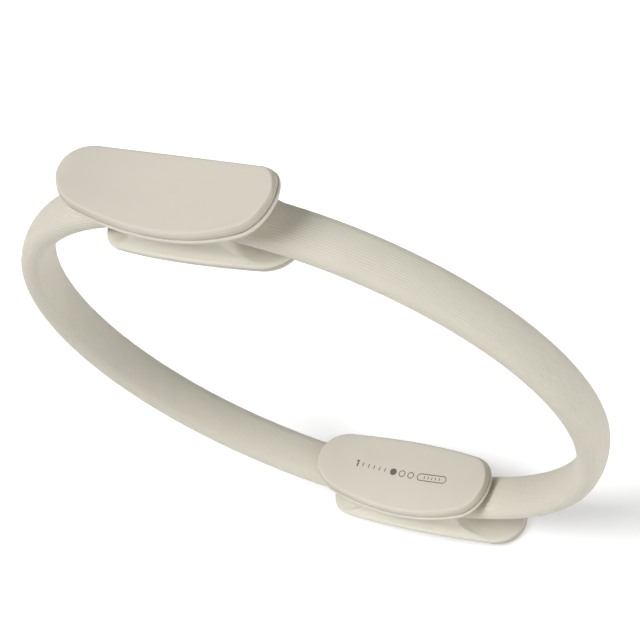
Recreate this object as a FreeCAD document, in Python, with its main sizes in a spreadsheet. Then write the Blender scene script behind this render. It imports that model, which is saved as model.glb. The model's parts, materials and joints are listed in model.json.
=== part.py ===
"""Pilates ring: two spring-steel hoops in ribbed foam sleeves, with two padded handles.

The ring stands upright on its lower handle. It lies in the XZ plane and its axis is along Y.
Each half of a handle is drawn in its own frame: z is 0 on the ring's centreline and grows
towards that half's pad, so outer and inner halves share the same functions.
"""
import FreeCAD, Part
import math
import os
import re
import Sketcher
from FreeCAD import Placement, Rotation, Vector

# Driving dimensions, in millimetres
SIZES = {
    "ring_radius": (181.0, "ring centre to the middle of the hoops"),
    "sleeve_wall": (4.3, "foam beside the strips, along the ring's axis"),
    "sleeve_depth": (18.2, "sleeve section across the ring"),
    "sleeve_bow": (1.1, "how far the sleeve section's broad sides bow out"),
    "sleeve_end": (22.0, "handle centre to a sleeve's end, along the ring"),
    "hoop_width": (20.0, "width of each spring strip"),
    "hoop_thickness": (0.9, "thickness of each spring strip"),
    "layer_gap": (0.2, "play between the two spring strips"),
    "hoop_opening": (4.0, "gap between the two ends of a strip"),
    "hoop_clearance": (0.3, "play round the strips in sleeve and liner"),
    "outer_pad_length": (145.4, "outer plate, end to end"),
    "outer_pad_width": (53.2, "outer plate, side to side"),
    "outer_pad_offset": (8.3, "ring centreline to the outer plate's seat"),
    "outer_pad_rise": (16.0, "how far the outer plate's ends rise"),
    "inner_pad_length": (128.8, "inner plate, end to end"),
    "inner_pad_width": (53.8, "inner plate, side to side"),
    "inner_pad_offset": (15.3, "ring centreline to the inner plate's seat"),
    "inner_pad_rise": (13.0, "how far the inner plate's ends rise"),
    "pad_bow": (4.7, "how far a pad's long sides bow out"),
    "pad_inset": (0.5, "plate's edge to the cover's edge"),
    "pad_thickness": (5.5, "soft cover on a plate"),
    "pad_shoulder": (1.2, "rounding of the cover's face edge"),
    "pad_seam": (0.6, "broken edge where the cover meets the plate"),
    "foot_height": (3.7, "outer plate's tip to the flat its cover stands on"),
    "glue_gap": (0.2, "adhesive between cover and plate"),
    "plate_thickness": (3.4, "plate of a shell"),
    "dish_depth": (0.9, "hollow in the back of a plate"),
    "dish_rim": (5.0, "rim round that hollow"),
    "dish_start": (9.0, "neck end to the hollow"),
    "neck_length": (72.0, "neck of a handle along the ring"),
    "neck_wall": (2.4, "neck beside a sleeve's mouth, where it is narrowest"),
    "neck_fillet": (9.0, "rounding between neck end and plate"),
    "mouth_clearance": (0.5, "gap round a sleeve in the neck's mouth"),
    "end_clearance": (0.3, "gap at a sleeve's or a liner's end"),
    "liner_wall": (1.2, "rubber beside the strips, along the ring's axis"),
    "liner_cover": (2.7, "rubber over and under the strips"),
    "liner_clearance": (0.2, "gap round the liner in the shells"),
    "pin_diameter": (4.0, "locating pin"),
    "pin_spacing": (20.0, "between the two pins of a handle"),
    "pin_depth": (7.0, "pin in each shell, from the centreline"),
    "screw_diameter": (3.0, "shell screw"),
    "screw_spacing": (31.0, "between screws along the ring"),
    "screw_wall": (0.7, "neck beside a threaded insert's bore, where it is narrowest"),
    "screw_head_diameter": (5.5, "screw head"),
    "screw_head_height": (2.2, "screw head"),
    "screw_head_recess": (2.8, "inner plate's seat to the screw head's seat"),
    "screw_socket": (2.5, "hex socket across flats"),
    "insert_diameter": (4.2, "threaded insert"),
    "insert_length": (5.0, "threaded insert"),
    "insert_lead": (0.8, "shell joint to the insert"),
    "fit_clearance": (0.1, "play in a drilled fit"),
    "cut_margin": (6.0, "how far a cut reaches past the piece"),
}
HANDLES = ("lower", "upper")

doc = FreeCAD.newDocument("pilates_ring")
sheet = doc.addObject("Spreadsheet::Sheet", "sizes")
for row, (alias, (number, meaning)) in enumerate(SIZES.items(), start=1):
    sheet.set("A%d" % row, meaning)
    sheet.set("B%d" % row, str(number))
    sheet.setAlias("B%d" % row, alias)
doc.recompute()

# A sketch's own numbers for its origin, its axes and the points of a curve
ORIGIN = (-1, 1)
H_AXIS, V_AXIS = range(-1, -3, -1)
START, END, CENTRE = range(1, 4)

TIDY = 0.01


def named(expression):
    """The expression with each size pointed at its cell."""
    return re.sub(r"\b(%s)\b" % "|".join(SIZES), r"sizes.\1", expression)


def number(expression):
    """The expression's value in millimetres or degrees."""
    return float(sheet.evalExpression(named(expression)))


def bind(item, prop, expression):
    item.setExpression(prop, named(expression))


def dimension(sketch, kind, first, second, expression):
    """A driving dimension between two sketch points, bound to the sheet."""
    place = tuple(first) + tuple(second)
    index = sketch.addConstraint(Sketcher.Constraint(kind, *place, number(expression)))
    bind(sketch, "Constraints[%d]" % index, expression)


def height(sketch, point, expression):
    """Sets a sketch point's height over the sketch origin, on either side of it."""
    if number(expression) > 0:
        dimension(sketch, "DistanceY", ORIGIN, point, expression)
    elif number(expression) < 0:
        dimension(sketch, "DistanceY", point, ORIGIN, "-(%s)" % expression)
    else:
        sketch.addConstraint(Sketcher.Constraint("PointOnObject", *point, H_AXIS))


def new_body(label):
    return doc.addObject("PartDesign::Body", label)


def new_sketch(body, role):
    sketch = body.newObject("Sketcher::SketchObject", body.Name + "_sketch")
    plane = [item for item in body.Origin.OriginFeatures if item.Role == role][0]
    sketch.AttachmentSupport = [(plane, "")]
    sketch.MapMode = "FlatFace"
    return sketch


def arc(middle, radius, first_angle, last_angle):
    circle = Part.Circle(Vector(middle[0], middle[1], 0), Vector(0, 0, 1), radius)
    return Part.ArcOfCircle(circle, first_angle, last_angle)


def line(first, last):
    return Part.LineSegment(Vector(first[0], first[1], 0), Vector(last[0], last[1], 0))


def draw_oval(sketch, length, width, bow, level="0"):
    """A four-arc oval: round ends, and long sides that bow out. Level is its middle's height."""
    half_length = "(%s) / 2" % length
    half_width = "(%s) / 2" % width
    end_radius = "(%s - %s)" % (half_width, bow)
    reach = "(%s - %s)" % (half_length, end_radius)
    radius = number(end_radius)
    side = number(reach)
    bulge = number(bow)
    side_radius = (side ** 2 + number(half_width) ** 2 - radius ** 2) / (2 * bulge)
    drop = side_radius - number(half_width)
    turn = math.atan2(drop, side)
    middle = number(level)
    right = sketch.addGeometry(arc((side, middle), radius, -turn, turn))
    left = sketch.addGeometry(arc((-side, middle), radius, math.pi - turn, math.pi + turn))
    for end, near, far in ((right, ORIGIN, (right, CENTRE)), (left, (left, CENTRE), ORIGIN)):
        dimension(sketch, "Radius", (end,), (), end_radius)
        dimension(sketch, "DistanceX", near, far, reach)
        height(sketch, (end, CENTRE), level)
    quarters = (
        (middle - drop, turn, math.pi / 2, END, "+", (START, right, END)),
        (middle - drop, math.pi / 2, math.pi - turn, START, "+", (END, left, START)),
        (middle + drop, math.pi + turn, 1.5 * math.pi, END, "-", (START, left, END)),
        (middle + drop, 1.5 * math.pi, 2 * math.pi - turn, START, "-", (END, right, START)),
    )
    for base, first, last, top, sign, (joint, end, end_joint) in quarters:
        flank = sketch.addGeometry(arc((0, base), side_radius, first, last))
        sketch.addConstraint(Sketcher.Constraint("PointOnObject", flank, CENTRE, V_AXIS))
        sketch.addConstraint(Sketcher.Constraint("PointOnObject", flank, top, V_AXIS))
        height(sketch, (flank, top), "%s %s %s" % (level, sign, half_width))
        sketch.addConstraint(Sketcher.Constraint("Tangent", flank, joint, end, end_joint))


def draw_box(sketch, width, low, high):
    """A rectangle centred on the vertical axis, from one height to another."""
    half = number(width) / 2
    corners = ((-half, number(low)), (half, number(low)), (half, number(high)), (-half, number(high)))
    sides = [sketch.addGeometry(line(corners[i], corners[(i + 1) % 4])) for i in range(4)]
    for i in range(4):
        sketch.addConstraint(Sketcher.Constraint("Coincident", sides[i], END, sides[(i + 1) % 4], START))
        sketch.addConstraint(Sketcher.Constraint(("Horizontal", "Vertical")[i % 2], sides[i]))
    dimension(sketch, "DistanceX", ORIGIN, (sides[1], START), "(%s) / 2" % width)
    dimension(sketch, "DistanceX", (sides[3], START), ORIGIN, "(%s) / 2" % width)
    height(sketch, (sides[0], START), low)
    height(sketch, (sides[2], START), high)


def draw_strip(sketch, middle, small_radius, large_radius, length):
    """A band between two arcs about one middle above it, cut off square at both ends."""
    half = number(length) / 2
    arcs = []
    for radius in (small_radius, large_radius):
        swing = math.asin(half / number(radius))
        band = arc((0, number(middle)), number(radius), 1.5 * math.pi - swing, 1.5 * math.pi + swing)
        arcs.append(sketch.addGeometry(band))
        dimension(sketch, "Radius", (arcs[-1],), (), radius)
        sketch.addConstraint(Sketcher.Constraint("PointOnObject", arcs[-1], CENTRE, V_AXIS))
        height(sketch, (arcs[-1], CENTRE), middle)
        dimension(sketch, "DistanceX", (arcs[-1], START), ORIGIN, "(%s) / 2" % length)
        dimension(sketch, "DistanceX", ORIGIN, (arcs[-1], END), "(%s) / 2" % length)
    points = [sketch.getPoint(item, corner) for corner in (START, END) for item in arcs]
    for i, corner in enumerate((START, END)):
        edge = sketch.addGeometry(line(points[2 * i], points[2 * i + 1]))
        sketch.addConstraint(Sketcher.Constraint("Coincident", edge, START, arcs[0], corner))
        sketch.addConstraint(Sketcher.Constraint("Coincident", edge, END, arcs[1], corner))


def draw_neck(sketch, middle, radius, length):
    """A block that stands on the sketch's horizontal axis and is topped by an arc."""
    half = number(length) / 2
    swing = math.asin(half / number(radius))
    top = sketch.addGeometry(
        arc((0, number(middle)), number(radius), 1.5 * math.pi - swing, 1.5 * math.pi + swing))
    dimension(sketch, "Radius", (top,), (), radius)
    sketch.addConstraint(Sketcher.Constraint("PointOnObject", top, CENTRE, V_AXIS))
    height(sketch, (top, CENTRE), middle)
    dimension(sketch, "DistanceX", (top, START), ORIGIN, "(%s) / 2" % length)
    dimension(sketch, "DistanceX", ORIGIN, (top, END), "(%s) / 2" % length)
    base = sketch.addGeometry(line((-half, 0), (half, 0)))
    sketch.addConstraint(Sketcher.Constraint("PointOnObject", base, START, H_AXIS))
    sketch.addConstraint(Sketcher.Constraint("PointOnObject", base, END, H_AXIS))
    for corner, x in ((START, -half), (END, half)):
        wall = sketch.addGeometry(line((x, 0), sketch.getPoint(top, corner)))
        sketch.addConstraint(Sketcher.Constraint("Coincident", wall, START, base, corner))
        sketch.addConstraint(Sketcher.Constraint("Coincident", wall, END, top, corner))
        sketch.addConstraint(Sketcher.Constraint("Vertical", wall))


def pad(body, sketch, length):
    """Material on both sides of the sketch."""
    feature = body.newObject("PartDesign::Pad", body.Name + "_pad")
    feature.Profile = sketch
    feature.SideType = "Symmetric"
    bind(feature, "Length", length)
    doc.recompute()


def pocket(body, sketch):
    """A cut right through, on both sides of the sketch."""
    before = body.Shape.Volume
    feature = body.newObject("PartDesign::Pocket", body.Name + "_pocket")
    feature.Profile = sketch
    feature.SideType = "Symmetric"
    feature.Type = "ThroughAll"
    doc.recompute()
    if not body.Shape.Volume < before:
        raise RuntimeError("%s cuts nothing" % feature.Label)


def trim_outline(body, length, width):
    """Cuts away all that lies outside the oval outline, seen along z."""
    sketch = new_sketch(body, "XY_Plane")
    draw_oval(sketch, length, width, "pad_bow")
    draw_box(sketch, "%s + 4 * cut_margin" % length,
             "-(%s) / 2 - 2 * cut_margin" % width, "(%s) / 2 + 2 * cut_margin" % width)
    pocket(body, sketch)


def edges_on_arc(shape, middle, radius):
    """Names of the edges that lie on the cylinder of that radius along Y, at that height."""
    found = []
    for index, edge in enumerate(shape.Edges, start=1):
        ends = [vertex.Point for vertex in edge.Vertexes]
        ends.append(edge.valueAt((edge.FirstParameter + edge.LastParameter) / 2))
        if all(abs(math.hypot(p.x, p.z - middle) - radius) < TIDY for p in ends):
            found.append("Edge%d" % index)
    return found


def soften(body, kind, size_property, size, edges):
    """A fillet or a chamfer along the named edges of the body so far."""
    base = body.Tip
    feature = body.newObject(kind, body.Name + "_edge")
    feature.Base = (base, edges)
    bind(feature, size_property, size)
    doc.recompute()


def cylinder(name, diameter, low, high, x="0", y="0"):
    """An upright cylinder between two heights."""
    item = doc.addObject("Part::Cylinder", name)
    bind(item, "Radius", "(%s) / 2" % diameter)
    bind(item, "Height", "(%s) - (%s)" % (high, low))
    bind(item, "Placement.Base.x", x)
    bind(item, "Placement.Base.y", y)
    bind(item, "Placement.Base.z", low)
    return item


def joined(name, kind, items):
    """One object from several: a fusion, or a compound of separate solids."""
    item = doc.addObject(kind, name)
    if kind == "Part::MultiFuse":
        item.Shapes = items
    else:
        item.Links = items
    return item


def cut(name, base, tool):
    item = doc.addObject("Part::Cut", name)
    item.Base = base
    item.Tool = tool
    return item


def ring_sector(name, angle, draw, level="0", turn=0):
    """A section drawn at the ring's radius and swept about the ring's axis, centred on angle turn."""
    body = new_body(name)
    sketch = new_sketch(body, "YZ_Plane")
    draw(sketch)
    feature = body.newObject("PartDesign::Revolution", name + "_turn")
    feature.Profile = sketch
    feature.ReferenceAxis = (sketch, ["H_Axis"])
    feature.Midplane = True
    bind(feature, "Angle", angle)
    body.Placement = Placement(Vector(), Rotation(Vector(0, 1, 0), turn))
    bind(body, "Placement.Base.z", level)
    doc.recompute()
    return body


# Ring: hoops, sleeves and liners, drawn about the ring's centre
HOOP_STACK = "2 * hoop_thickness + layer_gap"
SLEEVE_WIDTH = "(hoop_width + 2 * (hoop_clearance + sleeve_wall))"
MOUTH_WIDTH = "(%s + 2 * mouth_clearance)" % SLEEVE_WIDTH
LINER_WIDTH = "(hoop_width + 2 * (hoop_clearance + liner_wall))"
LINER_REACH = "((%s) / 2 + hoop_clearance + liner_cover)" % HOOP_STACK
SLEEVE_ANGLE = "180 - 2 * sleeve_end / ring_radius * 180 / pi"
LINER_ANGLE = "2 * (sleeve_end - end_clearance) / ring_radius * 180 / pi"
HOOP_ANGLE = "360 - hoop_opening / ring_radius * 180 / pi"
RING_HEIGHT = "ring_radius + outer_pad_offset + outer_pad_rise + foot_height"


def slot_section(sketch):
    """The room for both strips through a sleeve or a liner."""
    depth = "(%s) / 2 + hoop_clearance" % HOOP_STACK
    draw_box(sketch, "hoop_width + 2 * hoop_clearance",
             "ring_radius - (%s)" % depth, "ring_radius + (%s)" % depth)


def sleeve_section(sketch):
    draw_oval(sketch, SLEEVE_WIDTH, "sleeve_depth", "sleeve_bow", "ring_radius")
    slot_section(sketch)


def mouth_section(sketch):
    draw_oval(sketch, MOUTH_WIDTH, "sleeve_depth + 2 * mouth_clearance", "sleeve_bow", "ring_radius")


def liner_section(sketch):
    draw_box(sketch, LINER_WIDTH, "ring_radius - %s" % LINER_REACH, "ring_radius + %s" % LINER_REACH)
    slot_section(sketch)


def liner_room_section(sketch):
    depth = "(%s + liner_clearance)" % LINER_REACH
    draw_box(sketch, "%s + 2 * liner_clearance" % LINER_WIDTH,
             "ring_radius - %s" % depth, "ring_radius + %s" % depth)


def inner_hoop_section(sketch):
    draw_box(sketch, "hoop_width", "ring_radius - layer_gap / 2 - hoop_thickness",
             "ring_radius - layer_gap / 2")


def outer_hoop_section(sketch):
    draw_box(sketch, "hoop_width", "ring_radius + layer_gap / 2",
             "ring_radius + layer_gap / 2 + hoop_thickness")


def pin_holes(name, low, high, play):
    """Both pin holes of a handle, or of the whole ring."""
    holes = [cylinder("%s_%d" % (name, i), "pin_diameter + 2 * (%s)" % play, low, high,
                      x="%s pin_spacing / 2" % sign) for i, sign in enumerate("-+")]
    return joined(name, "Part::MultiFuse", holes)


def make_hoop(label, section, turn):
    strip = ring_sector(label + "_strip", HOOP_ANGLE, section, turn=turn)
    reach = "(ring_radius + cut_margin)"
    holes = pin_holes(label + "_holes", "-" + reach, reach, "hoop_clearance")
    hoop = cut(label, strip, holes)
    bind(hoop, "Placement.Base.z", RING_HEIGHT)
    return hoop


def make_liner(label, turn):
    block = ring_sector(label + "_block", LINER_ANGLE, liner_section)
    holes = pin_holes(label + "_holes", "ring_radius - %s - cut_margin" % LINER_REACH,
                      "ring_radius + %s + cut_margin" % LINER_REACH, "fit_clearance")
    liner = cut(label, block, holes)
    liner.Placement = Placement(Vector(), Rotation(Vector(0, 1, 0), turn))
    bind(liner, "Placement.Base.z", RING_HEIGHT)
    return liner


# Handle halves, drawn with z towards the pad
class Side:
    """One half of a handle: its sizes, and where the ring's centre and the other half lie."""

    def __init__(self, name, other, ring_level):
        self.name = name
        self.length = name + "_pad_length"
        self.width = name + "_pad_width"
        self.offset = name + "_pad_offset"
        self.other_offset = other + "_pad_offset"
        self.rise = name + "_pad_rise"
        self.ring_level = ring_level
        self.arc = "((%s ^ 2 / 4 + %s ^ 2) / (2 * %s))" % (self.length, self.rise, self.rise)
        self.middle = "(%s + %s)" % (self.offset, self.arc)


NECK_WAIST = "(%s + 2 * neck_wall)" % MOUTH_WIDTH
OUTER = Side("outer", "inner", "-ring_radius")
INNER = Side("inner", "outer", "ring_radius")


def strip_body(name, side, small_radius, large_radius):
    """A curved strip that follows the plate, longer and wider than its outline."""
    body = new_body(name)
    sketch = new_sketch(body, "XZ_Plane")
    draw_strip(sketch, side.middle, small_radius, large_radius, "%s + 2 * cut_margin" % side.length)
    pad(body, sketch, "%s + 2 * cut_margin" % side.width)
    return body


def make_pad(label, side):
    """The soft cover of a plate: rounded shoulder, broken seam edge, and flat lands at a foot's tips."""
    face = "%s - pad_thickness" % side.arc
    seat = "%s - glue_gap" % side.arc
    body = strip_body(label, side, face, seat)
    trim_outline(body, "%s - 2 * pad_inset" % side.length, "%s - 2 * pad_inset" % side.width)
    middle = number(side.middle)
    soften(body, "PartDesign::Fillet", "Radius", "pad_shoulder",
           edges_on_arc(body.Shape, middle, number(face)))
    soften(body, "PartDesign::Chamfer", "Size", "pad_seam",
           edges_on_arc(body.Shape, middle, number(seat)))
    if side is OUTER:
        sketch = new_sketch(body, "XZ_Plane")
        land = "%s + %s + foot_height" % (side.offset, side.rise)
        draw_box(sketch, "%s + 2 * cut_margin" % side.length, land, "%s + 2 * cut_margin" % land)
        pocket(body, sketch)
    return body


def make_dish(label, side):
    """The shallow hollow in the back of a plate, beyond both ends of the neck."""
    body = strip_body(label, side, "%s + plate_thickness - dish_depth" % side.arc,
                      "%s + plate_thickness + dish_depth" % side.arc)
    trim_outline(body, "%s - 2 * dish_rim" % side.length, "%s - 2 * dish_rim" % side.width)
    sketch = new_sketch(body, "XY_Plane")
    draw_box(sketch, "neck_length + 2 * dish_start", "-(%s)" % side.width, side.width)
    pocket(body, sketch)
    return body


def make_blank(label, side):
    """A shell before drilling: plate, neck with rounded roots, outline and waist."""
    body = strip_body(label, side, side.arc, "%s + plate_thickness" % side.arc)
    neck = new_sketch(body, "XZ_Plane")
    draw_neck(neck, side.middle, "%s + plate_thickness / 2" % side.arc, "neck_length")
    pad(body, neck, "%s + 2 * cut_margin" % side.width)
    middle = number(side.middle)
    back = edges_on_arc(body.Shape, middle, number("%s + plate_thickness" % side.arc))
    roots = [name for name in back
             if abs(abs(body.Shape.getElement(name).CenterOfMass.x) - number("neck_length / 2")) < TIDY]
    soften(body, "PartDesign::Fillet", "Radius", "neck_fillet", roots)
    trim_outline(body, side.length, side.width)
    waist = new_sketch(body, "YZ_Plane")
    hollow = "((%s + %s) / 2 - plate_thickness)" % (side.offset, side.other_offset)
    level = "(%s - %s) / 2" % (side.offset, side.other_offset)
    reach = "%s / 2 + %s" % (NECK_WAIST, hollow)
    for sign in (-1, 1):
        middle_point = Vector(sign * number(reach), number(level), 0)
        circle = waist.addGeometry(Part.Circle(middle_point, Vector(0, 0, 1), number(hollow)))
        dimension(waist, "Radius", (circle,), (), hollow)
        ends = [ORIGIN, (circle, CENTRE)]
        dimension(waist, "DistanceX", *ends[::sign], reach)
        height(waist, (circle, CENTRE), level)
    pocket(body, waist)
    return body


INSERT_BORE = "(insert_diameter + 2 * fit_clearance)"
SCREW_PITCH = "(%s - %s - 2 * screw_wall)" % (NECK_WAIST, INSERT_BORE)


def at_screws(name, make):
    """One item at each of the four screw places."""
    places = [(x, y) for x in "-+" for y in "-+"]
    return [make("%s_%d" % (name, i), "%s screw_spacing / 2" % x, "%s %s / 2" % (y, SCREW_PITCH))
            for i, (x, y) in enumerate(places)]


SCREW_SEAT = "inner_pad_offset - screw_head_recess"
INSERT_END = "insert_lead + insert_length"
SCREW_END = "insert_lead + 0.8 * insert_length"


def insert_bore(name, x, y):
    return cylinder(name, INSERT_BORE, "-cut_margin", "%s + end_clearance" % INSERT_END, x, y)


def screw_bore(name, x, y):
    shank = cylinder(name + "_shank", "screw_diameter + 4 * fit_clearance", "-cut_margin",
                     "%s + cut_margin" % SCREW_SEAT, x, y)
    head = cylinder(name + "_head", "screw_head_diameter + 4 * fit_clearance", SCREW_SEAT,
                    "inner_pad_offset + cut_margin", x, y)
    return joined(name, "Part::MultiFuse", [shank, head])


def make_shell(label, side):
    blank = make_blank(label + "_blank", side)
    tools = [make_dish(label + "_dish", side)]
    for turn in (-90, 90):
        tools.append(ring_sector("%s_mouth_%d" % (label, turn + 90),
                                 "%s + 2 * end_clearance / ring_radius * 180 / pi" % SLEEVE_ANGLE,
                                 mouth_section, side.ring_level, turn))
    tools.append(ring_sector(label + "_liner_room", "2 * sleeve_end / ring_radius * 180 / pi",
                             liner_room_section, side.ring_level, 0 if side is OUTER else 180))
    tools.append(pin_holes(label + "_pins", "-cut_margin", "pin_depth + end_clearance", "fit_clearance"))
    tools += at_screws(label + "_bore", insert_bore if side is OUTER else screw_bore)
    return cut(label, blank, joined(label + "_tools", "Part::MultiFuse", tools))


def screw(name, x, y):
    """A socket screw with its head towards the inner pad."""
    shank = cylinder(name + "_shank", "screw_diameter", "-(%s)" % SCREW_END,
                     "%s + screw_head_height / 2" % SCREW_SEAT, x, y)
    head = cylinder(name + "_head", "screw_head_diameter", SCREW_SEAT,
                    "%s + screw_head_height" % SCREW_SEAT, x, y)
    socket = doc.addObject("Part::Prism", name + "_socket")
    socket.Polygon = 6
    bind(socket, "Circumradius", "screw_socket / sqrt(3)")
    bind(socket, "Height", "screw_head_height")
    bind(socket, "Placement.Base.x", x)
    bind(socket, "Placement.Base.y", y)
    bind(socket, "Placement.Base.z", "%s + screw_head_height / 2" % SCREW_SEAT)
    return cut(name, joined(name + "_solid", "Part::MultiFuse", [shank, head]), socket)


def insert(name, x, y):
    outside = cylinder(name + "_outside", "insert_diameter", "insert_lead", INSERT_END, x, y)
    bore = cylinder(name + "_thread", "screw_diameter + 2 * fit_clearance", "0",
                    "%s + cut_margin" % INSERT_END, x, y)
    return cut(name, outside, bore)


def place(item, side, handle):
    """Turns a handle half to its end of the ring."""
    upright = (side is OUTER) == (handle == "upper")
    item.Placement = Placement(Vector(), Rotation(Vector(0, 1, 0), 0 if upright else 180))
    bind(item, "Placement.Base.z", "%s %s ring_radius" % (RING_HEIGHT, "+" if handle == "upper" else "-"))
    return item


nodes = [
    make_hoop("inner_spring_hoop", inner_hoop_section, 0),
    make_hoop("outer_spring_hoop", outer_hoop_section, 180),
    ring_sector("left_sleeve", SLEEVE_ANGLE, sleeve_section, RING_HEIGHT, -90),
    ring_sector("right_sleeve", SLEEVE_ANGLE, sleeve_section, RING_HEIGHT, 90),
]
for handle in HANDLES:
    nodes.append(make_liner(handle + "_band_liner", 0 if handle == "upper" else 180))
    for side in (OUTER, INNER):
        stem = "%s_%s" % (handle, side.name)
        nodes.append(place(make_shell(stem + "_shell", side), side, handle))
        nodes.append(place(make_pad(stem + "_pad", side), side, handle))
    screws = at_screws(handle + "_screw", screw)
    nodes.append(place(joined(handle + "_shell_screws", "Part::Compound", screws), INNER, handle))
    inserts = at_screws(handle + "_insert", insert)
    nodes.append(place(joined(handle + "_threaded_inserts", "Part::Compound", inserts), OUTER, handle))
    pins = [cylinder("%s_pin_%d" % (handle, i), "pin_diameter", "-pin_depth", "pin_depth",
                     x="%s pin_spacing / 2" % sign) for i, sign in enumerate("-+")]
    nodes.append(place(joined(handle + "_locating_pins", "Part::Compound", pins), OUTER, handle))
doc.recompute()

# Every object has to be sound before anything is written
for item in doc.Objects:
    if "Invalid" in item.State or "Error" in item.State:
        raise RuntimeError("%s failed: %s" % (item.Label, item.State))
for node in nodes:
    if node.Shape.isNull() or not node.Shape.isValid():
        raise RuntimeError("%s has no valid shape" % node.Label)

os.makedirs("parts", exist_ok=True)
for node in nodes:
    node.Shape.exportStep("parts/%s.step" % node.Label)
    box = node.Shape.BoundBox
    print("%-24s solids %d  volume %.0f  z %.2f to %.2f" % (
        node.Label, len(node.Shape.Solids), node.Shape.Volume, box.ZMin, box.ZMax))
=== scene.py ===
"""Looks of the pilates ring: ribbed foam sleeves, moulded handles with soft covers, studio and camera.

Lengths are in millimetres until points go into a mesh, which is in metres. Each half of a handle is
shaped in its own frame: z is 0 on the ring's centreline and grows towards that half's pad.
"""
import json
import math

import bpy
from mathutils import Matrix, Vector


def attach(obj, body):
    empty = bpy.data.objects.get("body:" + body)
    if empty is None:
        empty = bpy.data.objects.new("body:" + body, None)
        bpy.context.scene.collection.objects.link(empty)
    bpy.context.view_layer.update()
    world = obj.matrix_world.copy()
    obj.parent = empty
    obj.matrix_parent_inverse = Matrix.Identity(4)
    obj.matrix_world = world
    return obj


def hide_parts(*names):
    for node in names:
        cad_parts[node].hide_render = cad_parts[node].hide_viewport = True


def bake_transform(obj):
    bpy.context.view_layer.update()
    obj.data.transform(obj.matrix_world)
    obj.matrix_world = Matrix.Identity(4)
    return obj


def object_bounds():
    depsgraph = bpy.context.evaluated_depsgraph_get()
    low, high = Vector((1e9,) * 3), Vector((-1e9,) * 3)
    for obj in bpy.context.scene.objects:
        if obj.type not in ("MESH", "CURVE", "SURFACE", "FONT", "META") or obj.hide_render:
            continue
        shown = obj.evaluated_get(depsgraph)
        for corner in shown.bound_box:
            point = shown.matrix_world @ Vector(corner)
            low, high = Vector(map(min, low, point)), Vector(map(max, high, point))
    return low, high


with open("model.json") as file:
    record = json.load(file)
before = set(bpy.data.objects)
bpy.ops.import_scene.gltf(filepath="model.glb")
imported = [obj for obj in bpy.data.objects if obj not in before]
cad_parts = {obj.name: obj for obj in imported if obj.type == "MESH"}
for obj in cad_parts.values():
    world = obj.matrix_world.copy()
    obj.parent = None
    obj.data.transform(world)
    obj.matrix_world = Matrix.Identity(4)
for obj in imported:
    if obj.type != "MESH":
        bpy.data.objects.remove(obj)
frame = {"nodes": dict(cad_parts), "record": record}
cad_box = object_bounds()
MM = 0.001

# Ring and sleeves
RING_RADIUS = 181.0
RING_HEIGHT = (cad_box[0].z + cad_box[1].z) / 2 / MM
SLEEVE_WIDTH = 29.2
SLEEVE_DEPTH = 18.2
SLEEVE_BOW = 1.1
SLEEVE_END = 22.0
RIB_COUNT = 48
RIB_DEPTH = 0.2
RIB_STEPS = 6
SLOT_WIDTH = 20.6
SLOT_DEPTH = 2.6
HOOP_WIDTH = 20.0
HOOP_THICKNESS = 0.9
HOOP_GAP = 0.2
HOOP_OPENING = 4.0
HOOP_EDGE = 0.3
RING_STEP = 4.5

# Pads and plates: length, width, offset from the ring's centreline and rise of the ends
PAD_SIZES = {
    "outer": (145.4, 53.2, 8.3, 16.0),
    "inner": (128.8, 53.8, 15.3, 13.0),
}
PAD_BOW = 4.7
PAD_INSET = 0.5
PAD_THICKNESS = 5.5
PAD_SHOULDER = 2.0
PAD_DRAFT = 1.8
PAD_SEAM = 0.7
GLUE_GAP = 0.2
FOOT_HEIGHT = 3.7
PLATE_THICKNESS = 3.4
DISH_DEPTH = 0.5
DISH_RIM = 4.0
NECK_LENGTH = 72.0
NECK_WAIST = 35.0
NECK_CORNER = 4.0
NECK_FILLET = 9.0
MOUTH_CLEARANCE = 0.5
MOUTH_REACH = 62.0
SHARP_ANGLE = 40.0

# Largest shares of the way to the plate's edge, and of the neck's height, that the neck's fillet takes up
FILLET_REACH = 0.6
FILLET_RISE = 0.9

# Distances from the neck, in fillet radii, between which the plate's back sinks to its dish
DISH_START = (0.7, 1.2)

# The covers' side band carries painted shade that darkens towards the pads' ends: its mesh attribute, its
# colour, and the shares of half a pad's length between which it darkens
PAINTED_SHADE_ATTRIBUTE = "painted_end_shade"
END_SHADE_COLOUR = (0.58, 0.54, 0.445)
END_SHADE_FADE = (0.3, 0.8)

# Steps of the handles' meshes
QUARTER_STEPS = 56
SHOULDER_STEPS = 8
FACE_STEPS = 14
UNDERSIDE_STEPS = 4
SHELL_STEPS = 26
LIP_STEPS = 12

# Level mark on the lower inner pad
MARK_LINE = 0.6
MARK_LIFT = 0.04
MARK_SHIFT = 0.7
MARK_DOTS = (-10.3, -3.7, 2.9)
MARK_DOT_RADIUS = 2.4
MARK_DOT_CORE = 0.01
MARK_NUMERAL = -36.0
MARK_NUMERAL_HEIGHT = 4.8
MARK_NUMERAL_LINE = 1.0
MARK_FLAG_START = 0.55
MARK_FLAG_REACH = 0.28
MARK_TICKS = (-32.3, -28.3, -24.4, -20.5, -16.5)
MARK_TICK_HEIGHT = 2.8
MARK_PILL = 19.4
MARK_PILL_LENGTH = 23.2
MARK_PILL_HEIGHT = 5.4
MARK_PILL_TICKS = (13.5, 16.5, 19.4, 22.3, 25.3)
MARK_PILL_TICK_HEIGHT = 2.0
MARK_STEPS = 48

# Surfaces: mottling and gloss that all materials share, as sizes of patches and spreads
MOTTLE_SIZE = 14.0
MOTTLE_SPREAD = 0.012
MOTTLE_LIMITS = (0.3, 0.7)
GLOSS_SIZE = 5.0
GLOSS_SPREAD = 0.06
GRAIN_DETAIL = 3.0

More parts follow.
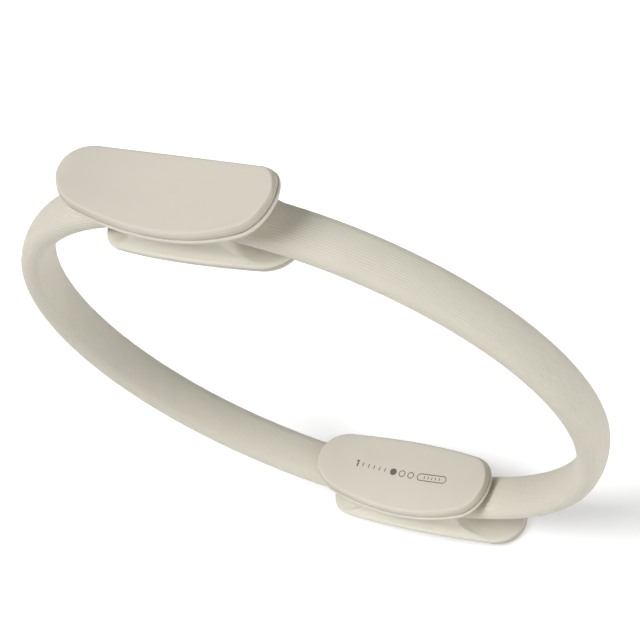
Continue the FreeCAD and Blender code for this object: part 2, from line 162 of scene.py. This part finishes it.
# Camera, found by fitting the whole outline
CAMERA_AZIMUTH = 54.71
CAMERA_ELEVATION = 51.3
CAMERA_ROLL = -38.75
CAMERA_DISTANCE = 1522.6
CAMERA_TARGET = (1.07, 23.49, RING_HEIGHT + 10.33)
CAMERA_LENS = 139.6
SENSOR_WIDTH = 36.0


# Mesh helpers
def add_mesh(name, points, faces):
    """A smooth-shaded mesh object from points in millimetres."""
    mesh = bpy.data.meshes.new(name)
    mesh.from_pydata([Vector(point) * MM for point in points], [], faces)
    mesh.polygons.foreach_set("use_smooth", [True] * len(mesh.polygons))
    mesh.update()
    item = bpy.data.objects.new(name, mesh)
    bpy.context.scene.collection.objects.link(item)
    return item


def loft(name, loops, ring_of_loops=False):
    """Skins closed loops of equal length, in order. The ends are closed, unless the loops form a ring."""
    size = len(loops[0])
    points = [point for loop in loops for point in loop]
    spans = [(i, (i + 1) % len(loops)) for i in range(len(loops) - (not ring_of_loops))]
    faces = []
    for first, second in spans:
        for k in range(size):
            after = (k + 1) % size
            faces.append((first * size + k, first * size + after, second * size + after, second * size + k))
    if not ring_of_loops:
        for loop, turn in ((0, -1), (len(loops) - 1, 1)):
            middle = len(points)
            points.append(sum((Vector(p) for p in loops[loop]), Vector()) / size)
            rim = [loop * size + k for k in range(size)][::turn]
            faces += [(rim[k], rim[(k + 1) % size], middle) for k in range(size)]
    return add_mesh(name, points, faces)


def oval_turn(length, width, bow):
    """Half the angle of an oval's end arc, its end radius, the end's reach and the side's radius."""
    end_radius = width / 2 - bow
    reach = length / 2 - end_radius
    side_radius = (reach ** 2 + (width / 2) ** 2 - end_radius ** 2) / (2 * bow)
    return math.atan2(side_radius - width / 2, reach), end_radius, reach, side_radius


def oval_point(length, width, bow, angle):
    """The point of a four-arc oval whose outward normal has that angle."""
    turn, end_radius, reach, side_radius = oval_turn(length, width, bow)
    drop = side_radius - width / 2
    across, up = math.cos(angle), math.sin(angle)
    if abs(up) > math.sin(turn):
        return side_radius * across, side_radius * up - math.copysign(drop, up)
    return end_radius * across + math.copysign(reach, across), end_radius * up


def oval_angle(length, width, bow, share):
    """The normal's angle at a share of the way from an oval's tip on x to its top on y."""
    turn, end_radius, _, side_radius = oval_turn(length, width, bow)
    end_arc = turn * end_radius
    way = share * (end_arc + (math.pi / 2 - turn) * side_radius)
    return way / end_radius if way < end_arc else turn + (way - end_arc) / side_radius


def quarters(steps):
    """Share of a quarter and signs of x and y, step by step round a doubly symmetric loop."""
    for across, up in ((1, 1), (-1, 1), (-1, -1), (1, -1)):
        for k in range(steps):
            yield (k / steps if across == up else 1 - k / steps), across, up


def oval_angles(length, width, bow, steps):
    """Normal angles of points at equal steps round an oval, with that many steps to a quarter."""
    angles = []
    for share, across, up in quarters(steps):
        angle = oval_angle(length, width, bow, share)
        angles.append(math.atan2(up * math.sin(angle), across * math.cos(angle)))
    return angles


def box_point(half_length, half_width, corner, share):
    """The point of a round-cornered box at a share of the way from its side on x to its side on y."""
    rise = half_width - corner
    bend = math.pi / 2 * corner
    way = share * (rise + bend + half_length - corner)
    if way < rise:
        return half_length, way
    if way < rise + bend:
        angle = (way - rise) / corner
        return half_length + corner * (math.cos(angle) - 1), half_width + corner * (math.sin(angle) - 1)
    return half_length - corner - (way - rise - bend), half_width


def ramp(low, high, number):
    """How far a number lies on the way from low to high, from 0 to 1."""
    return min(max((number - low) / (high - low), 0), 1)


def smooth_step(low, high, number):
    """A ramp with soft ends."""
    part = ramp(low, high, number)
    return part * part * (3 - 2 * part)


def between(first, second, part):
    """The number at that part of the way from the first to the second."""
    return first + (second - first) * part


# Ring
def ring_point(angle, radial, along):
    """A point of the ring: angle from the +x side towards the top, distance from the centreline, and y."""
    radius = RING_RADIUS + radial
    return radius * math.cos(angle), along, RING_HEIGHT + radius * math.sin(angle)


def sweep_angles(first, last):
    """Angles along the ring from the first to the last, in equal steps."""
    steps = math.ceil((last - first) * RING_RADIUS / RING_STEP)
    return [first + (last - first) * i / steps for i in range(steps + 1)]


def slot_corner(angle):
    """The point of the strips' slot in that direction from its middle."""
    across, up = math.cos(angle), math.sin(angle)
    scale = 1 / max(abs(across) / (SLOT_WIDTH / 2), abs(up) / (SLOT_DEPTH / 2))
    return scale * across, scale * up


def make_sleeve(name, middle):
    """A ribbed foam sleeve with the slot for the strips through it."""
    section = []
    slot = []
    steps = RIB_COUNT * RIB_STEPS // 4
    for k, angle in enumerate(oval_angles(SLEEVE_WIDTH, SLEEVE_DEPTH, SLEEVE_BOW, steps)):
        groove = RIB_DEPTH * (0.5 - 0.5 * math.cos(2 * math.pi * k / RIB_STEPS)) ** 2
        along, radial = oval_point(SLEEVE_WIDTH, SLEEVE_DEPTH, SLEEVE_BOW, angle)
        section.append((along - groove * math.cos(angle), radial - groove * math.sin(angle)))
        slot.append(slot_corner(math.atan2(radial, along)))
    reach = math.pi / 2 - SLEEVE_END / RING_RADIUS
    angles = sweep_angles(middle - reach, middle + reach)
    outside = [[ring_point(angle, radial, along) for along, radial in section] for angle in angles]
    inside = [[ring_point(angle, radial, along) for along, radial in slot] for angle in angles]
    return loft(name, outside + inside[::-1], ring_of_loops=True)


def make_hoop(name, level, gap_angle):
    """A spring strip with broken edges, open by a small gap."""
    half_width, half_depth = HOOP_WIDTH / 2, HOOP_THICKNESS / 2
    corners = []
    for across, up in ((1, 1), (-1, 1), (-1, -1), (1, -1)):
        long_end = (across * (half_width - HOOP_EDGE), up * half_depth)
        short_end = (across * half_width, up * (half_depth - HOOP_EDGE))
        corners += [short_end, long_end] if across == up else [long_end, short_end]
    opening = HOOP_OPENING / RING_RADIUS
    angles = sweep_angles(gap_angle + opening / 2, gap_angle + 2 * math.pi - opening / 2)
    loops = [[ring_point(angle, level + radial, along) for along, radial in corners] for angle in angles]
    return loft(name, loops)


# Handles
def place(item, side, handle):
    """Moves a handle half from its own frame to its end of the ring."""
    upright = (side == "outer") == (handle == "upper")
    level = RING_HEIGHT + (RING_RADIUS if handle == "upper" else -RING_RADIUS)
    turn = Matrix.Rotation(0 if upright else math.pi, 4, "Y")
    item.data.transform(Matrix.Translation((0, 0, level * MM)) @ turn)
    item.data.update()
    return item


def plate_arc(side):
    """Radius of a plate's seat, and the height of its centre of curvature."""
    length, _, offset, rise = PAD_SIZES[side]
    radius = (length ** 2 / 4 + rise ** 2) / (2 * rise)
    return radius, offset + radius


def over_seat(side, x, height):
    """Height over the ring's centreline of a point that lies that far over a plate's seat."""
    radius, centre = plate_arc(side)
    return centre - math.sqrt((radius - height) ** 2 - x ** 2)


def cover_profile():
    """A cover's edge, from its face to its underside: inset from its outline, and height over the seat."""
    foot = GLUE_GAP + PAD_SEAM
    lean = math.atan2(PAD_DRAFT, PAD_THICKNESS - foot)
    level = PAD_THICKNESS - PAD_SHOULDER
    middle = (PAD_SHOULDER + (level - foot) * math.sin(lean)) / math.cos(lean)
    shoulder = []
    for i in range(SHOULDER_STEPS + 1):
        angle = between(math.pi / 2, lean, i / SHOULDER_STEPS)
        shoulder.append((middle - PAD_SHOULDER * math.cos(angle), level + PAD_SHOULDER * math.sin(angle)))
    return shoulder + [(0, foot), (PAD_SEAM, GLUE_GAP)]


def make_pad(name, side, handle):
    """The soft cover of a plate, with a round shoulder, a side band marked for painted shade towards its ends
    and flat lands where it stands.
    """
    length, width, offset, rise = PAD_SIZES[side]
    length, width = length - 2 * PAD_INSET, width - 2 * PAD_INSET
    angles = oval_angles(length, width, PAD_BOW, QUARTER_STEPS)
    land = offset + rise + FOOT_HEIGHT if side == "outer" else math.inf

    def edge_loop(inset, height, scale=1.0):
        loop = []
        for angle in angles:
            x, y = oval_point(length - 2 * inset, width - 2 * inset, PAD_BOW, angle)
            x, y = x * scale, y * scale
            loop.append((x, y, min(over_seat(side, x, height), land)))
        return loop

    profile = cover_profile()
    face = [edge_loop(*profile[0], i / FACE_STEPS) for i in range(1, FACE_STEPS)]
    sides = [edge_loop(inset, height) for inset, height in profile]
    underside = [edge_loop(*profile[-1], 1 - i / UNDERSIDE_STEPS) for i in range(1, UNDERSIDE_STEPS)]
    cover = loft(name, face + sides + underside)
    # The painted shade on the side band starts halfway down the shoulder
    shade_start = (len(face) + len(profile) // 2) * len(angles)
    shade_end = (len(face) + len(profile)) * len(angles)
    shade_mask = cover.data.attributes.new(PAINTED_SHADE_ATTRIBUTE, "FLOAT", "POINT")
    for k in range(shade_start, shade_end):
        share = abs(cover.data.vertices[k].co.x) / (length / 2 * MM)
        shade_mask.data[k].value = ramp(*END_SHADE_FADE, share)
    return place(cover, side, handle)


def neck_valley(side):
    """The neck's hollow flank at mid-length: radius, its centre's height, and the back's height there."""
    offsets = {key: sizes[2] for key, sizes in PAD_SIZES.items()}
    other = "inner" if side == "outer" else "outer"
    hollow = (offsets[side] + offsets[other]) / 2 - PLATE_THICKNESS
    return hollow, (offsets[side] - offsets[other]) / 2, offsets[side] - PLATE_THICKNESS


def flank_profile(side, part):
    """The flank from parting plane to plate: shares of the way out and of the way up."""
    hollow, level, back = neck_valley(side)
    start = math.asin(-level / hollow)
    angle = between(start, math.pi / 2, part)
    out = (math.cos(start) - math.cos(angle)) / math.cos(start)
    return out, (level + hollow * math.sin(angle)) / back


def end_profile(way, rise, part):
    """The neck's end from parting plane to plate edge, with a fillet: shares of the ways out and up."""
    wall_end, fillet_end = 0.2, 0.7
    width = min(NECK_FILLET, FILLET_REACH * way)
    height = min(NECK_FILLET, FILLET_RISE * rise)
    if part < wall_end:
        return 0, part / wall_end * (1 - height / rise)
    if part < fillet_end:
        angle = math.pi / 2 * (part - wall_end) / (fillet_end - wall_end)
        return width / way * (1 - math.cos(angle)), 1 - height / rise * (1 - math.sin(angle))
    return between(width / way, 1, (part - fillet_end) / (1 - fillet_end)), 1


def shell_line(side, share):
    """One line over a shell's outside in its first quarter, from the parting plane to the seat."""
    length, width, _, _ = PAD_SIZES[side]
    hollow, level, _ = neck_valley(side)
    half_width = NECK_WAIST / 2 + hollow * (1 - math.cos(math.asin(-level / hollow)))
    base = box_point(NECK_LENGTH / 2, half_width, NECK_CORNER, share)
    round_edge = PLATE_THICKNESS / 2

    def outline(inset):
        angle = oval_angle(length, width, PAD_BOW, share)
        return oval_point(length - 2 * inset, width - 2 * inset, PAD_BOW, angle)

    edge = outline(round_edge)
    way = math.dist(base, edge)
    quarter = half_width + NECK_LENGTH / 2 + (math.pi / 2 - 2) * NECK_CORNER
    flank_start = (half_width + (math.pi / 2 - 1) * NECK_CORNER) / quarter
    endness = 1 - smooth_step((half_width - NECK_CORNER) / quarter, flank_start, share)
    end_rise = over_seat(side, base[0], -PLATE_THICKNESS)
    dish_start = [NECK_FILLET * radii for radii in DISH_START]
    points = []
    for i in range(SHELL_STEPS + 1):
        side_out, side_up = flank_profile(side, i / SHELL_STEPS)
        end_out, end_up = end_profile(way, end_rise, i / SHELL_STEPS)
        out, up = between(side_out, end_out, endness), between(side_up, end_up, endness)
        x, y = between(base[0], edge[0], out), between(base[1], edge[1], out)
        dish = smooth_step(*dish_start, out * way)
        dish *= smooth_step(0, DISH_RIM, (1 - out) * way - DISH_RIM / 2) * endness * DISH_DEPTH
        points.append((x, y, up * over_seat(side, x, -PLATE_THICKNESS) + dish))
    for i in range(1, LIP_STEPS + 1):
        angle = math.pi * (i / LIP_STEPS - 0.5)
        x, y = outline(round_edge * (1 - math.cos(angle)))
        points.append((x, y, over_seat(side, x, round_edge * (math.sin(angle) - 1))))
    for i in range(UNDERSIDE_STEPS):
        x, y = ((1 - i / UNDERSIDE_STEPS) * distance for distance in outline(2 * round_edge))
        points.append((x, y, over_seat(side, x, 0)))
    return points


def cut_mouths(item, handle):
    """Opens the neck where the sleeves go in."""
    middle = math.pi / 2 if handle == "upper" else -math.pi / 2
    length, width = SLEEVE_WIDTH + 2 * MOUTH_CLEARANCE, SLEEVE_DEPTH + 2 * MOUTH_CLEARANCE
    section = [oval_point(length, width, SLEEVE_BOW, angle)
               for angle in oval_angles(length, width, SLEEVE_BOW, QUARTER_STEPS // 2)]
    for way in (-1, 1):
        ends = sorted(middle + way * distance / RING_RADIUS for distance in (SLEEVE_END, MOUTH_REACH))
        angles = sweep_angles(*ends)
        loops = [[ring_point(angle, radial, along) for along, radial in section] for angle in angles]
        tool = loft("mouth", loops)
        cut = item.modifiers.new("mouth", "BOOLEAN")
        cut.operation = "DIFFERENCE"
        cut.solver = "EXACT"
        cut.object = tool
        opened = bpy.data.meshes.new_from_object(item.evaluated_get(bpy.context.evaluated_depsgraph_get()))
        item.modifiers.clear()
        item.data = opened
        bpy.data.objects.remove(tool)
    item.data.set_sharp_from_angle(angle=math.radians(SHARP_ANGLE))


def make_shell(name, side, handle):
    """A moulded half of a handle: plate with a round lip, hollow-flanked neck and the sleeves' mouths."""
    lines = [[(x * across, y * up, z) for x, y, z in shell_line(side, share)]
             for share, across, up in quarters(QUARTER_STEPS)]
    loops = [list(loop) for loop in zip(*lines)]
    shell = place(loft(name, loops), side, handle)
    cut_mouths(shell, handle)
    return shell


# Level mark
def mark_band(outer, inner):
    """Faces between two outlines of equal length, as points and quads."""
    size = len(outer)
    quads = [(k, (k + 1) % size, size + (k + 1) % size, size + k) for k in range(size)]
    return outer + inner, quads


def pill_outline(x, length, height, inset):
    """A pill's outline, with that inset; a length equal to the height gives a circle."""
    radius = height / 2 - inset
    reach = (length - height) / 2
    outline = []
    for k in range(MARK_STEPS):
        angle = 2 * math.pi * (k + 0.5) / MARK_STEPS
        across = math.cos(angle)
        outline.append((x + math.copysign(reach, across) + radius * across, radius * math.sin(angle)))
    return outline


def mark_bar(x, low, high, line=MARK_LINE, lean=0.0):
    """A stroke of that line width between two heights; lean moves its foot sideways."""
    half = line / 2
    corners = [(x - half + lean, low), (x + half + lean, low), (x + half, high), (x - half, high)]
    return corners, [(0, 1, 2, 3)]


def make_mark(name, handle):
    """A printed row: the numeral 1, ticks, one full and two open dots, and a pill with ticks."""
    shapes = []
    foot, top = -MARK_NUMERAL_HEIGHT / 2, MARK_NUMERAL_HEIGHT / 2
    shapes.append(mark_bar(MARK_NUMERAL, foot, top, MARK_NUMERAL_LINE))
    flag = -MARK_FLAG_REACH * MARK_NUMERAL_HEIGHT
    shapes.append(mark_bar(MARK_NUMERAL, MARK_FLAG_START * top, top, MARK_NUMERAL_LINE, lean=flag))
    ticks = [(x, MARK_TICK_HEIGHT) for x in MARK_TICKS]
    ticks += [(x, MARK_PILL_TICK_HEIGHT) for x in MARK_PILL_TICKS]
    shapes += [mark_bar(x, -height / 2, height / 2) for x, height in ticks]
    for x in MARK_DOTS:
        size = 2 * MARK_DOT_RADIUS
        depth = MARK_DOT_RADIUS - MARK_DOT_CORE if x == MARK_DOTS[0] else MARK_LINE
        shapes.append(mark_band(pill_outline(x, size, size, 0), pill_outline(x, size, size, depth)))
    pill = (MARK_PILL, MARK_PILL_LENGTH, MARK_PILL_HEIGHT)
    shapes.append(mark_band(pill_outline(*pill, 0), pill_outline(*pill, MARK_LINE)))
    points = []
    faces = []
    height = PAD_THICKNESS + MARK_LIFT
    for outline, quads in shapes:
        faces += [tuple(len(points) + k for k in quad) for quad in quads]
        points += [(x, y + MARK_SHIFT, over_seat("inner", x, height)) for x, y in outline]
    return place(add_mesh(name, points, faces), "inner", handle)


# Materials
def surface_material(name, colour, roughness, metallic=0.0, specular=0.5):
    """A material of one colour and gloss, and its shader."""
    material = bpy.data.materials.new(name)
    material.use_nodes = True
    shader = material.node_tree.nodes["Principled BSDF"]
    shader.inputs["Base Color"].default_value = (*colour, 1)
    shader.inputs["Roughness"].default_value = roughness
    shader.inputs["Metallic"].default_value = metallic
    shader.inputs["Specular IOR Level"].default_value = specular
    return material, shader


def noise(material, size, detail=4.0, stretch=(1, 1, 1)):
    """Noise with features of about that size, in millimetres."""
    nodes, links = material.node_tree.nodes, material.node_tree.links
    position = nodes.new("ShaderNodeTexCoord")
    mapping = nodes.new("ShaderNodeMapping")
    mapping.inputs["Scale"].default_value = stretch
    texture = nodes.new("ShaderNodeTexNoise")
    texture.inputs["Scale"].default_value = 1 / (size * MM)
    texture.inputs["Detail"].default_value = detail
    links.new(position.outputs["Object"], mapping.inputs["Vector"])
    links.new(mapping.outputs["Vector"], texture.inputs["Vector"])
    return texture


def vary_colour(material, shader, texture, dark, light):
    """Colour that wanders between two tones."""
    tones = material.node_tree.nodes.new("ShaderNodeValToRGB")
    for stop, limit, colour in zip(tones.color_ramp.elements, MOTTLE_LIMITS, (dark, light)):
        stop.position = limit
        stop.color = (*colour, 1)
    material.node_tree.links.new(texture.outputs["Fac"], tones.inputs["Fac"])
    material.node_tree.links.new(tones.outputs["Color"], shader.inputs["Base Color"])


def paint_end_shade(material, attribute, colour):
    """Painted shade: another colour mixed in where the mesh carries that attribute."""
    nodes, links = material.node_tree.nodes, material.node_tree.links
    shader = nodes["Principled BSDF"]
    mask = nodes.new("ShaderNodeAttribute")
    mask.attribute_name = attribute
    mix = nodes.new("ShaderNodeMix")
    mix.data_type = "RGBA"
    face, edge = [socket for socket in mix.inputs if socket.type == "RGBA"]
    result = next(socket for socket in mix.outputs if socket.type == "RGBA")
    # The painted shade's colour
    edge.default_value = (*colour, 1)
    links.new(mask.outputs["Fac"], mix.inputs["Factor"])
    links.new(shader.inputs["Base Color"].links[0].from_socket, face)
    links.new(result, shader.inputs["Base Color"])


def vary_roughness(material, shader, texture, low, high):
    """Gloss that wanders between two roughnesses."""
    spread = material.node_tree.nodes.new("ShaderNodeMapRange")
    spread.inputs["To Min"].default_value = low
    spread.inputs["To Max"].default_value = high
    material.node_tree.links.new(texture.outputs["Fac"], spread.inputs["Value"])
    material.node_tree.links.new(spread.outputs["Result"], shader.inputs["Roughness"])


def add_bump(material, shader, texture, depth):
    """Relief of about that depth, in millimetres."""
    bump = material.node_tree.nodes.new("ShaderNodeBump")
    bump.inputs["Strength"].default_value = 1
    bump.inputs["Distance"].default_value = depth * MM
    material.node_tree.links.new(texture.outputs["Fac"], bump.inputs["Height"])
    material.node_tree.links.new(bump.outputs["Normal"], shader.inputs["Normal"])


def shade(colour, factor):
    """A colour made lighter or darker by that factor."""
    return tuple(channel * factor for channel in colour)


def grained(name, colour, roughness, grain, depth, metallic=0.0, specular=0.5, stretch=(1, 1, 1)):
    """A plain-coloured material with fine grain, broad mottling and uneven gloss."""
    material, shader = surface_material(name, colour, roughness, metallic, specular)
    dark, light = shade(colour, 1 - MOTTLE_SPREAD), shade(colour, 1 + MOTTLE_SPREAD)
    vary_colour(material, shader, noise(material, MOTTLE_SIZE), dark, light)
    low, high = roughness - GLOSS_SPREAD, roughness + GLOSS_SPREAD
    vary_roughness(material, shader, noise(material, GLOSS_SIZE), low, high)
    add_bump(material, shader, noise(material, grain, GRAIN_DETAIL, stretch), depth)
    return material


# Colour, roughness, size and depth of the grain, and what else sets a material apart
SURFACES = {
    "sleeve_foam": ((0.673, 0.636, 0.543), 0.72, 0.5, 0.05, {"specular": 0.25}),
    "handle_shell": ((0.688, 0.653, 0.562), 0.48, 0.35, 0.012, {"specular": 0.4}),
    "soft_pad": ((0.665, 0.618, 0.535), 0.62, 0.3, 0.015, {"specular": 0.3}),
    "spring_steel": ((0.32, 0.33, 0.36), 0.35, 0.4, 0.01, {"metallic": 1.0, "stretch": (1, 12, 1)}),
    "liner_rubber": ((0.03, 0.03, 0.03), 0.75, 0.4, 0.03, {"specular": 0.3}),
    "pin_steel": ((0.56, 0.57, 0.58), 0.25, 0.2, 0.006, {"metallic": 1.0, "stretch": (1, 1, 8)}),
    "screw_steel": ((0.05, 0.05, 0.055), 0.45, 0.3, 0.01, {"metallic": 0.8}),
    "mark_ink": ((0.14, 0.125, 0.105), 0.55, 0.3, 0.004, {"specular": 0.3}),
    "insert_brass": ((0.72, 0.52, 0.22), 0.3, 0.25, 0.008, {"metallic": 1.0, "stretch": (1, 1, 6)}),
}
MATERIALS = {name: grained(name, *values, **others) for name, (*values, others) in SURFACES.items()}
# Painted shade on the covers' side bands, darkening towards the pads' ends
paint_end_shade(MATERIALS["soft_pad"], PAINTED_SHADE_ATTRIBUTE, END_SHADE_COLOUR)


def finish_piece(item, slot):
    """Gives a piece its material and names its slot."""
    item.data.materials.clear()
    item.data.materials.append(MATERIALS[slot])
    return item


# Pieces
def add_flexing(item, slot, node):
    """A piece of the ring that runs from one handle to the other: gives it its material, hides the part it
    replaces and bakes its transform.
    """
    finish_piece(item, slot)
    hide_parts(node)
    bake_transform(item)


add_flexing(make_sleeve("right_sleeve_skin", 0), "sleeve_foam", "right_sleeve")
add_flexing(make_sleeve("left_sleeve_skin", math.pi), "sleeve_foam", "left_sleeve")
hoop_level = (HOOP_GAP + HOOP_THICKNESS) / 2
add_flexing(make_hoop("inner_hoop_strip", -hoop_level, -math.pi / 2), "spring_steel", "inner_spring_hoop")
add_flexing(make_hoop("outer_hoop_strip", hoop_level, math.pi / 2), "spring_steel", "outer_spring_hoop")

for handle in ("lower", "upper"):
    for side in ("outer", "inner"):
        node = "%s_%s_pad" % (handle, side)
        cover = finish_piece(make_pad(node + "_cover", side, handle), "soft_pad")
        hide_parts(node)
        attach(cover, handle + "_handle")
        node = "%s_%s_shell" % (handle, side)
        shell = finish_piece(make_shell(node + "_moulding", side, handle), "handle_shell")
        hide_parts(node)
        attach(shell, handle + "_handle")

mark = finish_piece(make_mark("level_mark", "lower"), "mark_ink")
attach(mark, "lower_handle")

for subpart in frame["record"]["subparts"]:
    node = frame["nodes"][subpart["node"]]
    if not node.hide_render:
        node.data.materials.clear()
        node.data.materials.append(MATERIALS[subpart["material_slot"]])


# Studio
def add_lamp(name, kind, energy, direction):
    """A lamp that shines from that direction."""
    light = bpy.data.lights.new(name, kind)
    light.energy = energy
    lamp = bpy.data.objects.new(name, light)
    bpy.context.scene.collection.objects.link(lamp)
    lamp.rotation_euler = Vector(direction).to_track_quat("Z", "Y").to_euler()
    return lamp


def add_soft_light(name, direction, spread, strength):
    """A far, broad light; spread is its width in degrees."""
    lamp = add_lamp(name, "SUN", strength, direction)
    lamp.data.angle = math.radians(spread)


def add_light_panel(name, direction, distance, width, power):
    """A square panel that faces the ring's middle, near enough for its light to fade across the ring."""
    lamp = add_lamp(name, "AREA", power, direction)
    lamp.data.size = width * MM
    middle = Vector((0, 0, RING_HEIGHT))
    lamp.location = (middle + Vector(direction).normalized() * distance) * MM
    lamp.visible_camera = False


def background_share(nodes, links):
    """1 for rays that show the background: from the camera, in gloss or through glass."""
    path = nodes.new("ShaderNodeLightPath")
    first = nodes.new("ShaderNodeMath")
    first.operation = "MAXIMUM"
    second = nodes.new("ShaderNodeMath")
    second.operation = "MAXIMUM"
    links.new(path.outputs["Is Camera Ray"], first.inputs[0])
    links.new(path.outputs["Is Glossy Ray"], first.inputs[1])
    links.new(first.outputs[0], second.inputs[0])
    links.new(path.outputs["Is Transmission Ray"], second.inputs[1])
    return second.outputs[0]


def make_world(strength):
    """Even light from all round, with a white background."""
    world = bpy.data.worlds.new("studio")
    bpy.context.scene.world = world
    world.use_nodes = True
    nodes, links = world.node_tree.nodes, world.node_tree.links
    fill = nodes["Background"]
    fill.inputs["Color"].default_value = (1, 1, 1, 1)
    fill.inputs["Strength"].default_value = strength
    white = nodes.new("ShaderNodeBackground")
    white.inputs["Color"].default_value = (1, 1, 1, 1)
    white.inputs["Strength"].default_value = 1
    mix = nodes.new("ShaderNodeMixShader")
    links.new(background_share(nodes, links), mix.inputs["Fac"])
    links.new(fill.outputs[0], mix.inputs[1])
    links.new(white.outputs[0], mix.inputs[2])
    links.new(mix.outputs[0], nodes["World Output"].inputs["Surface"])


def make_floor(size, tone, lift):
    """A white floor that keeps the shadow; lift is added to what the camera sees of it."""
    half = size / 2
    corners = [(-half, -half, 0), (half, -half, 0), (half, half, 0), (-half, half, 0)]
    floor = add_mesh("floor", corners, [(0, 1, 2, 3)])
    material = bpy.data.materials.new("floor")
    material.use_nodes = True
    nodes, links = material.node_tree.nodes, material.node_tree.links
    nodes.remove(nodes["Principled BSDF"])
    matt = nodes.new("ShaderNodeBsdfDiffuse")
    matt.inputs["Color"].default_value = (tone, tone, tone, 1)
    glow = nodes.new("ShaderNodeEmission")
    glow.inputs["Color"].default_value = (1, 1, 1, 1)
    scale = nodes.new("ShaderNodeMath")
    scale.operation = "MULTIPLY"
    scale.inputs[1].default_value = lift
    total = nodes.new("ShaderNodeAddShader")
    links.new(background_share(nodes, links), scale.inputs[0])
    links.new(scale.outputs[0], glow.inputs["Strength"])
    links.new(matt.outputs[0], total.inputs[0])
    links.new(glow.outputs[0], total.inputs[1])
    links.new(total.outputs[0], nodes["Material Output"].inputs["Surface"])
    floor.data.materials.append(material)


def make_camera():
    """The camera at the photo's viewing angle."""
    azimuth, elevation = math.radians(CAMERA_AZIMUTH), math.radians(CAMERA_ELEVATION)
    back = Vector((math.sin(azimuth) * math.cos(elevation), -math.cos(azimuth) * math.cos(elevation),
                   math.sin(elevation)))
    camera = bpy.data.objects.new("camera", bpy.data.cameras.new("camera"))
    bpy.context.scene.collection.objects.link(camera)
    level = back.to_track_quat("Z", "Y").to_matrix().to_4x4()
    roll = Matrix.Rotation(math.radians(CAMERA_ROLL), 4, "Z")
    spot = Vector(CAMERA_TARGET) + back * CAMERA_DISTANCE
    camera.matrix_world = Matrix.Translation(spot * MM) @ level @ roll
    camera.data.sensor_width = SENSOR_WIDTH
    camera.data.lens = CAMERA_LENS
    bpy.context.scene.camera = camera


make_world(strength=0.2)
make_floor(size=9000, tone=0.9, lift=0.3)
add_soft_light("key", direction=(-0.26, -0.25, 0.93), spread=35, strength=2.45)
add_light_panel("side", direction=(0.95, -0.1, 0.3), distance=750, width=500, power=1.15)
add_soft_light("front", direction=(0.35, -0.9, 0.25), spread=60, strength=0.45)
make_camera()
bpy.context.scene.view_settings.view_transform = "Standard"
